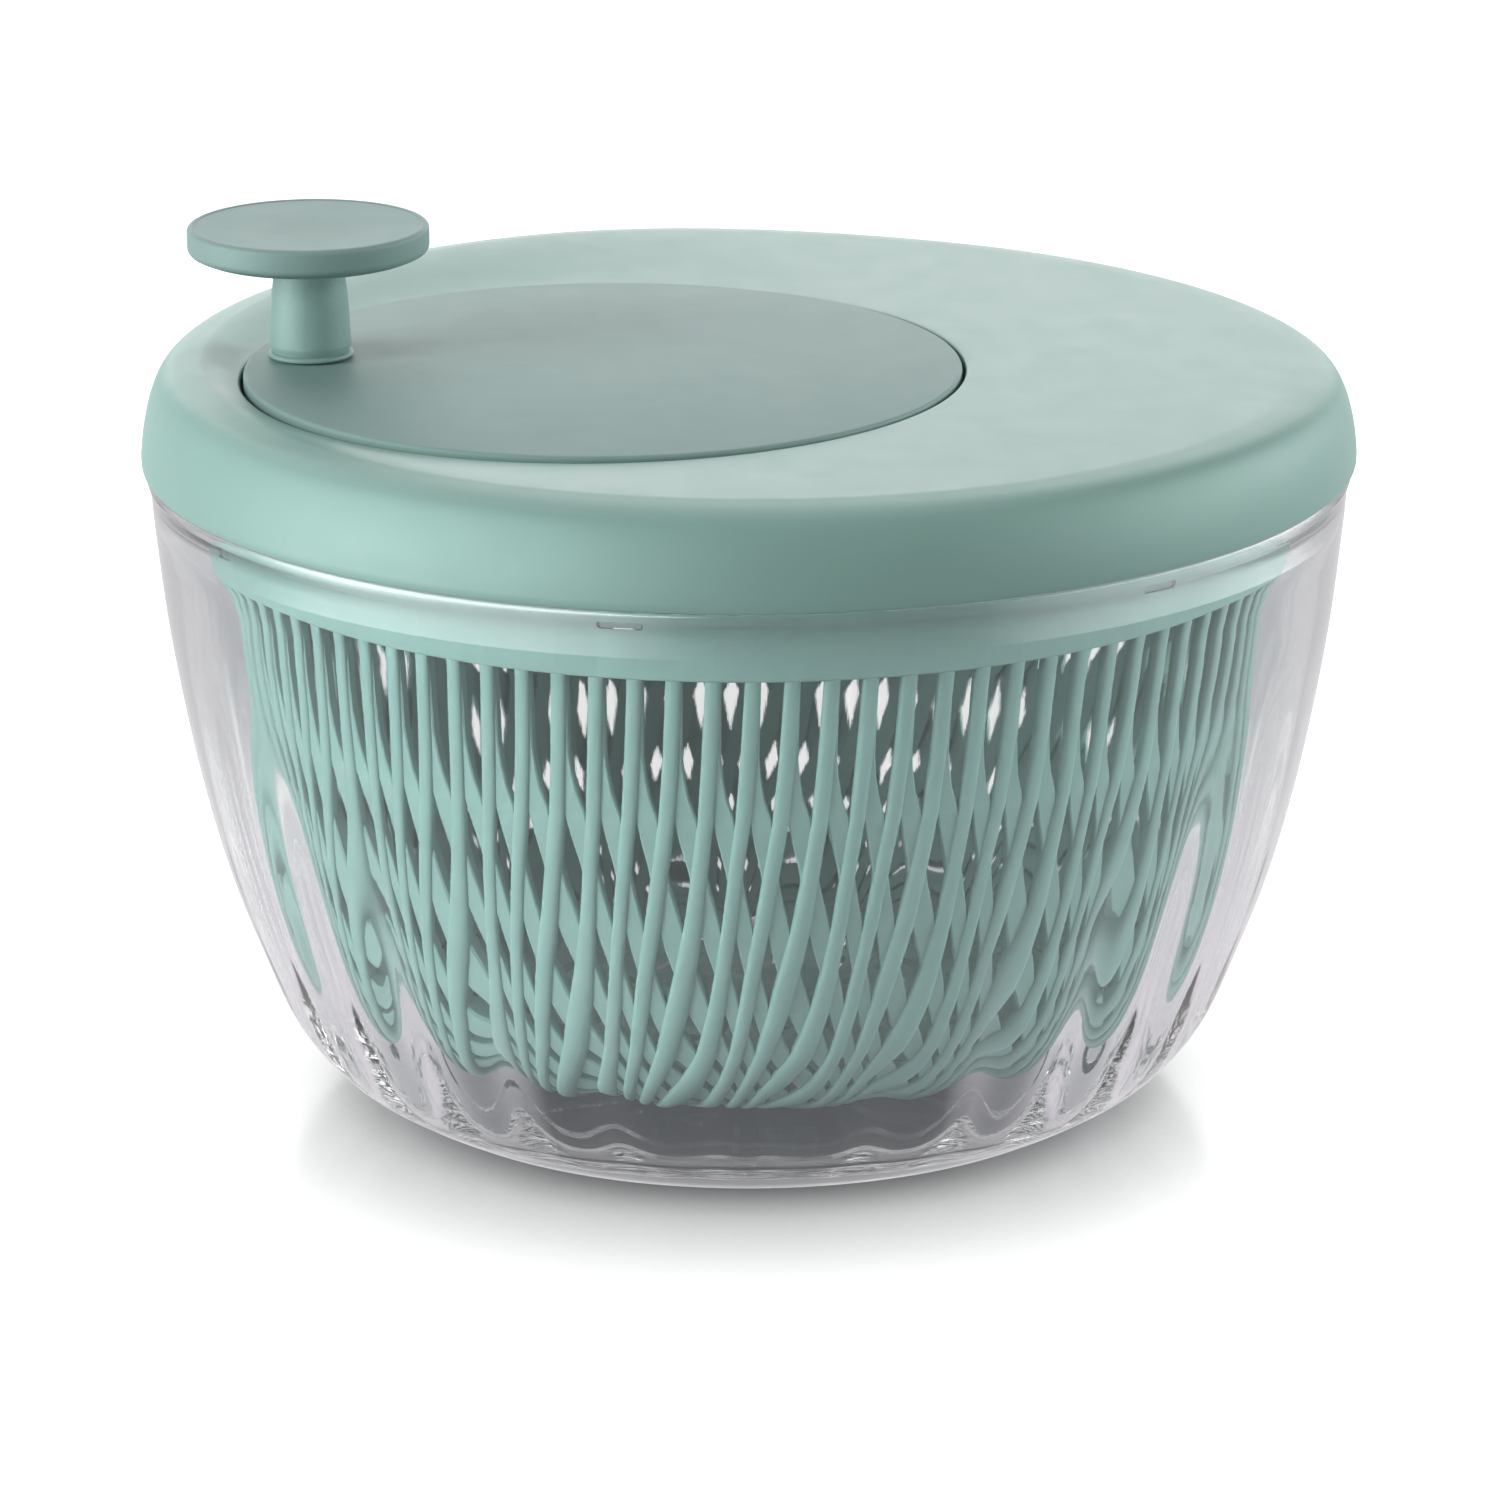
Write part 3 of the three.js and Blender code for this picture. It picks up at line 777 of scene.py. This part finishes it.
# ---- small hardware: screws, washers and clips stand where their CAD nodes do ----
THREAD_PITCH = 1.1
THREAD_DEPTH = 0.28
THREAD_START = 0.4
POINT_LENGTH = 1.4
SCREW_STEPS = 32


def make_screw(node, head_height, shank):
    """A pan head below, with a cross recess, on a threaded shank with a point"""
    centre, head, low, tip = measured(node)
    under = low + head_height
    round_by = head_height * 0.55
    outline = [(0, low)] + rounded([(0, low), (head, low, round_by), (head, under), (shank, under)], 5)[1:]
    core = shank - THREAD_DEPTH
    level = under + THREAD_START
    while level + THREAD_PITCH < tip - POINT_LENGTH:
        outline += [(shank, level), (core, level + THREAD_PITCH * 0.35), (core, level + THREAD_PITCH * 0.6)]
        level += THREAD_PITCH
    outline += [(shank, tip - POINT_LENGTH), (0.25, tip - 0.1), (0, tip)]
    reach = head * 0.55
    recess = arm(-reach, reach, head * 0.24, low - 0.5, low + head_height * 0.55, 0.05)
    cross = []
    for turn in (0, 90):
        points, faces = spun(recess, turn)
        cross.append((points + np.array([centre[0], centre[1], 0]), faces))
    stand_for(node, STEEL, turned(outline, SCREW_STEPS, centre), (), cross)


def make_washer(node, bore):
    centre, radius, low, high = measured(node)
    outline = rounded([(bore, low, 0.2), (radius, low, 0.25), (radius, high, 0.25), (bore, high, 0.2)], 3)
    stand_for(node, STEEL, turned(outline, SMALL, centre))


def make_hardware():
    for i in range(6):
        make_screw(f"housing_screw_{i + 1}", 1.7, 1.5)
    for i in range(4):
        make_screw(f"ring_screw_{i + 1}", 1.3, 1.3)
    make_screw("crank_screw", 1.5, 1.55)
    make_screw("drive_screw", 1.6, 1.55)
    make_washer("crank_washer", 2)
    make_washer("drive_washer", 2)
    make_washer("knob_clip", 3.5)
    _, _, low, high = measured("shaft_clip")
    ring = turned(rounded([(3.4, low, 0.15), (6, low, 0.2), (6, high, 0.2), (3.4, high, 0.15)], 3), SMALL)
    stand_for("shaft_clip", STEEL, ring, (), (arm(0, 8, 2.4, low - 0.5, high + 0.5, 0.1),))
    stand_for("pinion_bush", BRASS, turned(rounded([
        (3.4, 157.3, 0.3), (8.6, 157.3, 0.2), (8.6, 158.1, 0.2), (6.5, 158.1), (6.5, 161.4, 0.3),
        (3.4, 161.4, 0.3),
    ], 3), MEDIUM))
    stand_for("pinion_shaft", STEEL, turned(rounded([
        (1.95, 148.6), (3, 148.6, 0.3), (3, 168.2, 0.5), (0, 168.2), (0, 158.5), (1.95, 158.5),
    ], 3), MEDIUM))
    _, _, low, _ = measured("knob_pin")
    collar = low + 2.5
    stand_for("knob_pin", STEEL, turned(rounded([
        (0, low), (6, low, 0.5), (6, collar, 0.4), (3.6, collar), (3.6, 190.2), (3.1, 190.2), (3.1, 195, 0.3),
        (2.5, 195.6), (0, 195.6),
    ], 3), SMALL, KNOB))
    stand_for("pivot_bush", WHITE, turned(rounded([
        (8.1, 9.4, 0.2), (11.2, 9.4, 0.3), (11.2, 11, 0.4), (9.2, 11, 0.4), (9.2, 23.2, 0.5), (0, 23.6),
        (0, 20.4), (6.1, 20.4), (6.8, 19.4),
    ], 3), MEDIUM))


# ---- stage: floor, light and camera ----
# the floor's reach and level are in millimetres, like every shape; other distances here are in metres
FLOOR_REACH = 12000
FLOOR_LEVEL = -0.3
FLOOR_GLOW = 0.98
# painted contact shadow: near the object the floor's glow is darkened to the colour below, within this reach
CONTACT_REACH = 0.062
CONTACT_SHADOW = (0.06, 0.062, 0.065, 1)
# what gloss, other bounced light and the clear bowl's inside see in place of the floor
GLOSS_FLOOR = (0.78, 0.76, 0.78, 1.0)
# painted reflection: the floor's glow that gloss sees towards the left light
PAINTED_REFLECTION_NEAR_LEFT = (12.0, 12.0, 12.0, 1.0)
BOUNCE_GREY = (0.3, 0.3, 0.3, 1.0)
STUDIO_NEAR = (0.7, 0.67, 0.71, 1.0)
STUDIO_FAR = (0.44, 0.44, 0.46, 1.0)
STUDIO_SHEET = (0.96, 0.94, 0.93, 1.0)
# painted shade under the bowl, seen through its clear wall
STUDIO_SHADE_BENEATH = (0.04, 0.045, 0.05, 1.0)
# where each of these fades, from and to, with X to the right of the object and Y beyond it
GLOSS_LEFT_X = (-1.2, -0.5)
GLOSS_NEAR_Y = (-0.2, 0.3)
STUDIO_FADE = (0.15, 0.32)
SHEET_SIDES = (0.125, 0.165)
SHEET_Y = (0.14, 0.22)
BENEATH_RADIUS = (0.088, 0.115)
BENEATH_SIDES = (0.045, 0.085)


def make_floor():
    corners = [(-1, -1), (1, -1), (1, 1), (-1, 1)]
    flat = np.array([(x * FLOOR_REACH, y * FLOOR_REACH, FLOOR_LEVEL) for x, y in corners])
    floor = to_object("studio_floor", (flat, [(0, 1, 2, 3)]))
    s = Surface(bpy.data.materials.new("studio_floor"))
    # painted contact shadow: ambient occlusion darkens the floor's glow near the object
    contact = s.add("ShaderNodeAmbientOcclusion", {"Distance": CONTACT_REACH}, samples=16).outputs["AO"]
    glow = s.mixed(s.ranged(contact, 0.0, 1.0, 0.0, 0.75), CONTACT_SHADOW, (1, 1, 1, 1))
    pale = s.mixed(s.ranged(s.noise(3, 2), 0.0, 1.0), (0.16, 0.16, 0.16, 1.0), (0.18, 0.18, 0.18, 1.0))
    paint = s.add("ShaderNodeBsdfPrincipled", {
        "Base Color": pale, "Roughness": 0.2, "Specular IOR Level": 0.3,
        "Emission Color": glow, "Emission Strength": FLOOR_GLOW,
    })
    path = s.add("ShaderNodeLightPath").outputs
    turn = {"Vector": s.place, "Rotation": (0, 0, -CAMERA_AZIMUTH)}
    aligned = s.add("ShaderNodeMapping", turn).outputs["Vector"]
    axes = s.add("ShaderNodeSeparateXYZ", {"Vector": aligned})
    # in gloss the floor glows pale, and much brighter towards the left light: a painted reflection standing
    # in for that light, which gloss doesn't see
    left = s.ranged(axes.outputs["X"], 1.0, 0.0, *GLOSS_LEFT_X)
    near = s.ranged(axes.outputs["Y"], 1.0, 0.0, *GLOSS_NEAR_Y)
    mirrored = s.mixed(s.math("MULTIPLY", left, near), GLOSS_FLOOR, PAINTED_REFLECTION_NEAR_LEFT)
    bounce = s.add("ShaderNodeEmission", {
        "Color": s.mixed(path["Is Glossy Ray"], BOUNCE_GREY, mirrored),
    })
    # through the clear bowl the floor looks like a studio: painted shade beneath the bowl, grey, a bright
    # sheet behind
    aside = s.math("ABSOLUTE", axes.outputs["X"])
    narrow = s.ranged(aside, 1.0, 0.0, *SHEET_SIDES)
    behind = s.ranged(axes.outputs["Y"], 0.0, 1.0, *SHEET_Y)
    sheet = s.math("MULTIPLY", narrow, behind)
    away = s.add("ShaderNodeVectorMath", {0: aligned}, operation="LENGTH").outputs["Value"]
    grey = s.mixed(s.ranged(away, 0.0, 1.0, *STUDIO_FADE), STUDIO_NEAR, STUDIO_FAR)
    grey = s.mixed(sheet, grey, STUDIO_SHEET)
    beneath = s.ranged(away, 1.0, 0.0, *BENEATH_RADIUS)
    middle = s.ranged(aside, 1.0, 0.0, *BENEATH_SIDES)
    shade = s.math("MULTIPLY", beneath, middle)
    studio = s.mixed(shade, grey, STUDIO_SHADE_BENEATH)
    seen_through = s.add("ShaderNodeEmission", {"Color": studio})
    direct = s.add("ShaderNodeMixShader", {
        0: path["Is Camera Ray"], 1: bounce.outputs["Emission"], 2: paint.outputs["BSDF"],
    })
    mix = s.add("ShaderNodeMixShader", {
        0: path["Is Transmission Ray"], 1: direct.outputs["Shader"], 2: seen_through.outputs["Emission"],
    })
    # the underside is clear, so that a view from below sees the object
    underside = s.add("ShaderNodeNewGeometry").outputs["Backfacing"]
    clear = s.add("ShaderNodeBsdfTransparent").outputs["BSDF"]
    one_sided = s.add("ShaderNodeMixShader", {0: underside, 1: mix.outputs["Shader"], 2: clear})
    floor.data.materials.append(s.finish(one_sided.outputs["Shader"]))
    return floor


def area_light(name, at, look_at, size, power):
    data = bpy.data.lights.new(name, "AREA")
    data.shape = "RECTANGLE"
    data.size, data.size_y = size
    data.energy = power
    lamp = bpy.data.objects.new(name, data)
    lamp.location = at
    lamp.visible_transmission = False
    lamp.rotation_euler = (Vector(at) - Vector(look_at)).to_track_quat("Z", "Y").to_euler()
    bpy.context.scene.collection.objects.link(lamp)
    return lamp


def side_light(floor, *settings):
    """An area light that leaves no mirror image on gloss and doesn't reach the floor"""
    lamp = area_light(*settings)
    lamp.visible_glossy = False
    unlit = bpy.data.collections.new(f"{lamp.name}_unlit")
    unlit.objects.link(floor)
    unlit.collection_objects[0].light_linking.link_state = "EXCLUDE"
    lamp.light_linking.receiver_collection = unlit


def sun_light(name, from_direction, strength, spread_degrees):
    data = bpy.data.lights.new(name, "SUN")
    data.energy = strength
    data.angle = math.radians(spread_degrees)
    lamp = bpy.data.objects.new(name, data)
    lamp.rotation_euler = Vector(from_direction).to_track_quat("Z", "Y").to_euler()
    bpy.context.scene.collection.objects.link(lamp)


CAMERA_DISTANCE = 1.6
CAMERA_ELEVATION = math.radians(17.23)
CAMERA_ROLL = math.radians(-0.205)
CAMERA_TARGET = Vector((0, 0, 0.07755))
CAMERA_LENS = 163.84
CAMERA_SENSOR = 36
CAMERA_SEES_TO = 60


def from_camera(right, back, up):
    """A place on the stage, this far to the camera's right of the object, beyond it and above the floor"""
    c, s = math.cos(CAMERA_AZIMUTH), math.sin(CAMERA_AZIMUTH)
    return (right * c - back * s, right * s + back * c, up)


CLEAR_WALL_BOUNCES = 32
# brightness of the surroundings for diffuse rays, for mirrored ones, for those that come through the bowl,
# for those that a piece scatters out through the bowl, and for the camera itself
WORLD_DIFFUSE = 0.05
WORLD_GLOSS = 0.7
WORLD_THROUGH = 0.42
WORLD_SCATTERED = 0.85
WORLD_SEEN = 1.0
# direction as from_camera(), peak strength, cosine at which the glow starts
GLOSS_GLOWS = (((-0.85, -0.5, 0.1), 4.8, 0.6), ((1.0, 0.05, 0.05), 3.8, 0.6))


def make_world():
    s = Surface(bpy.data.worlds.new("studio"))
    path = s.add("ShaderNodeLightPath").outputs
    glossy, through = path["Is Glossy Ray"], path["Is Transmission Ray"]
    mirrored = s.math("SUBTRACT", glossy, through, use_clamp=True)
    scattered = s.math("MULTIPLY", through, s.math("MINIMUM", path["Diffuse Depth"], 1.0))
    strength = s.math("MULTIPLY_ADD", mirrored, WORLD_GLOSS - WORLD_DIFFUSE, WORLD_DIFFUSE)
    strength = s.math("MULTIPLY_ADD", through, WORLD_THROUGH - WORLD_DIFFUSE, strength)
    strength = s.math("MULTIPLY_ADD", scattered, WORLD_SCATTERED - WORLD_THROUGH, strength)
    strength = s.math("MULTIPLY_ADD", path["Is Camera Ray"], WORLD_SEEN - WORLD_DIFFUSE, strength)
    # soft glows to the left and right that only gloss picks up
    for direction, gain, start in GLOSS_GLOWS:
        facing = s.add("ShaderNodeVectorMath", {
            0: s.towards, 1: Vector(from_camera(*direction)).normalized(),
        }, operation="DOT_PRODUCT").outputs["Value"]
        glow = s.ranged(facing, 0.0, gain, start, 1.0, interpolation_type="SMOOTHSTEP")
        strength = s.math("MULTIPLY_ADD", glow, glossy, strength)
    light = s.add("ShaderNodeBackground", {"Color": (1.0, 1.0, 1.0, 1.0), "Strength": strength})
    bpy.context.scene.world = s.finish(light.outputs["Background"], "ShaderNodeOutputWorld")


def make_lights(floor):
    sun_light("overhead", from_camera(-0.15, 0.45, 1), 0.82, 60)
    side_light(floor, "left_softbox", from_camera(-1.8, -0.9, 0.65), (0, 0, 0.1), (0.9, 1.1), 42)
    side_light(floor, "right_softbox", from_camera(1.9, -0.2, 0.6), (0, 0, 0.1), (0.7, 1.1), 24)
    area_light("back_panel", from_camera(0, 1.6, 0.62), (0, 0, 0.15), (1.7, 0.85), 8.6)
    bpy.context.scene.view_settings.view_transform = "Standard"
    # light runs a long way inside the bowl's clear wall before it comes out
    for kind in ("max_bounces", "transmission_bounces", "glossy_bounces"):
        setattr(bpy.context.scene.cycles, kind, CLEAR_WALL_BOUNCES)


def make_camera():
    data = bpy.data.cameras.new("camera")
    data.lens = CAMERA_LENS
    data.sensor_width = CAMERA_SENSOR
    data.clip_end = CAMERA_SEES_TO
    camera = bpy.data.objects.new("camera", data)
    level = math.cos(CAMERA_ELEVATION)
    back = Vector((
        math.sin(CAMERA_AZIMUTH) * level, -math.cos(CAMERA_AZIMUTH) * level, math.sin(CAMERA_ELEVATION),
    ))
    camera.location = CAMERA_TARGET + CAMERA_DISTANCE * back
    turn = back.to_track_quat("Z", "Y") @ Quaternion((0, 0, 1), CAMERA_ROLL)
    camera.rotation_euler = turn.to_euler()
    bpy.context.scene.collection.objects.link(camera)
    bpy.context.scene.camera = camera


make_camera()
make_bowl()
make_basket()
make_lid()
make_crank()
make_knob()
make_housing()
make_drive()
make_pinion()
make_ring_gear()
make_hardware()
make_world()
make_lights(make_floor())
